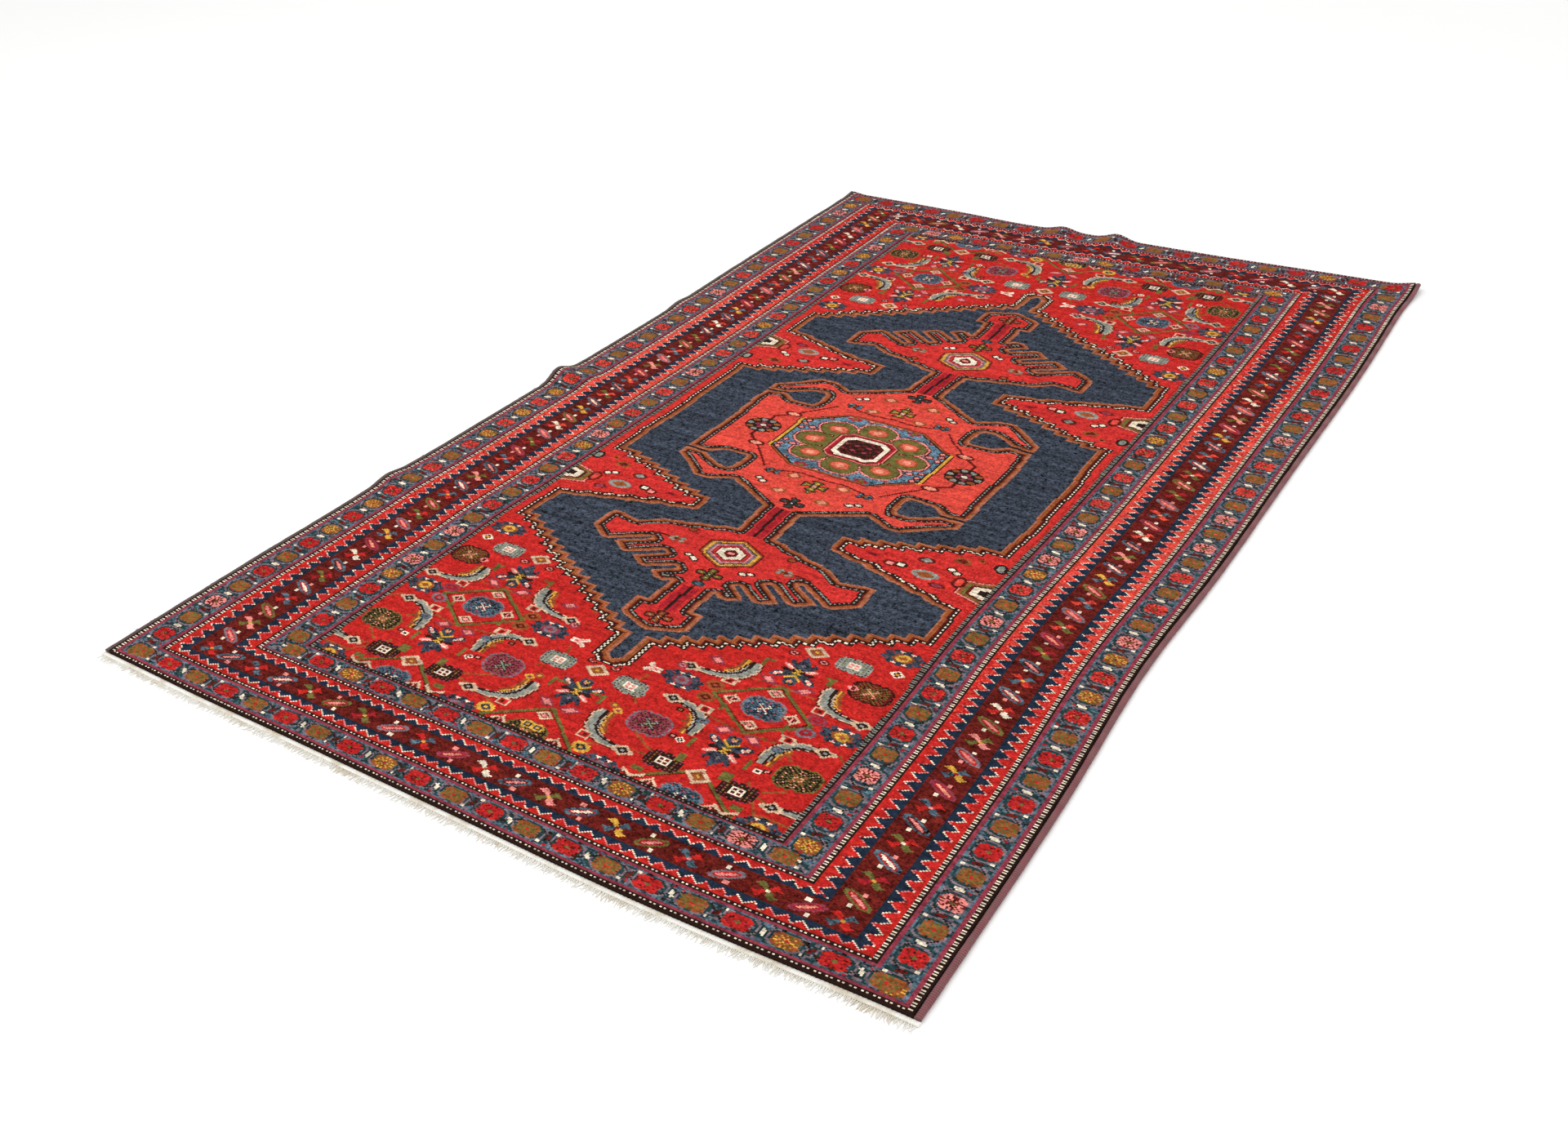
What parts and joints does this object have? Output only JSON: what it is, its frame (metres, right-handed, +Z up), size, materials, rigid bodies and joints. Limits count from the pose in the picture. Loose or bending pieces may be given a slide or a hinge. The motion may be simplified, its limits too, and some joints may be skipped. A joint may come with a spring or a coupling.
{
  "type": "persian rug",
  "caption": "Flat hand-knotted wool rug with a central medallion, stepped field, framing borders, corded long sides and short worn cotton fringes.",
  "frame": {"origin": "middle of the rug's outline, on the floor", "axes": "+Z up through the pile; +Y along the rug, from the end with the white cotton web towards the worn end; +X across it"},
  "size_m": [1.3165, 2.1374, 0.0221],
  "materials": {
    "wool_pile": "short cut wool pile",
    "dark_selvedge": "overcast wool cord",
    "mauve_selvedge": "overcast wool cord",
    "cotton_web": "flat-woven undyed cotton",
    "cotton_fringe": "loose undyed cotton warps",
    "worn_fringe": "worn warps and loose wool"
  },
  "bodies": {
    "root": {"knotted_pile": "wool_pile", "selvedge_left": "dark_selvedge", "selvedge_right": "mauve_selvedge", "cotton_web": "cotton_web", "fringe_near": "cotton_fringe", "fringe_far": "worn_fringe"}
  },
  "joints": []
}
